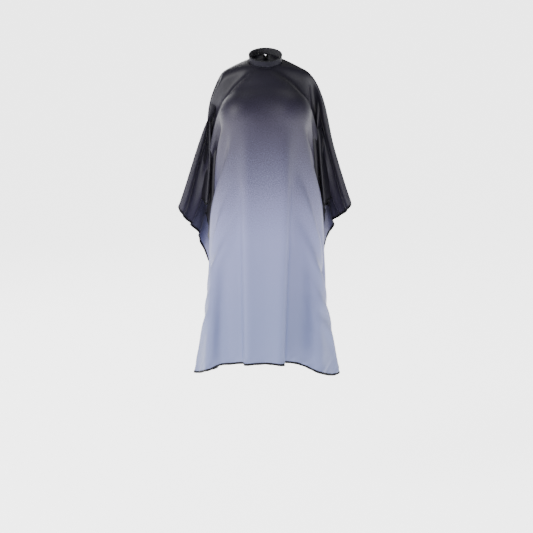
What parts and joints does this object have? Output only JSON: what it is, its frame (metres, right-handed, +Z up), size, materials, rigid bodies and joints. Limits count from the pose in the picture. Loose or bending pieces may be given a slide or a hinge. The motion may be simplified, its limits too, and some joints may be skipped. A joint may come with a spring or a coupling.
{
  "type": "barber cape",
  "caption": "Barber cape hanging as worn, with a standing neckband, a snap closing tab, a back slit, folded wings and bound edges.",
  "frame": {"origin": "centre of the neckband's bore", "axes": "+Z up, front towards -Y, the wearer's left at +X"},
  "size_m": [0.64, 0.45, 1.2197],
  "materials": {
    "cape_fabric": "satin polyester, dark at the neck and light lavender grey at the hem",
    "binding_tape": "woven black tape",
    "band_fabric": "black satin",
    "interlining": "stiff matt felt",
    "lining_fabric": "soft matt knit",
    "snap_metal": "plated, polished",
    "label_satin": "white satin tape"
  },
  "bodies": {
    "cape": {"cape_cloth": "cape_fabric", "edge_binding": "binding_tape", "slit_binding_left": "binding_tape", "slit_binding_right": "binding_tape", "neck_piping": "binding_tape", "neckband_outer": "band_fabric", "neckband_edge_tape": "binding_tape", "neckband_interlining": "interlining", "neckband_lining": "lining_fabric", "snap_studs": "snap_metal", "snap_posts": "snap_metal"},
    "closing_tab": {"closing_tab_outer": "band_fabric", "closing_tab_lining": "lining_fabric", "snap_caps": "snap_metal", "snap_sockets": "snap_metal"},
    "care_label": {"care_label": "label_satin"}
  },
  "joints": [
    {"name": "closing_tab_hinge", "type": "hinge", "parent": "cape", "child": "closing_tab", "pos_m": [-0.0296, 0.05294, 0.0172], "axis": [0, -0.309, 0.9511], "range_deg": [0, 110]},
    {"name": "care_label_hinge", "type": "hinge", "parent": "cape", "child": "care_label", "pos_m": [0.0605, 0.00504, -0.0155], "axis": [0, 0.9511, 0.309], "range_deg": [-40, 75]}
  ]
}
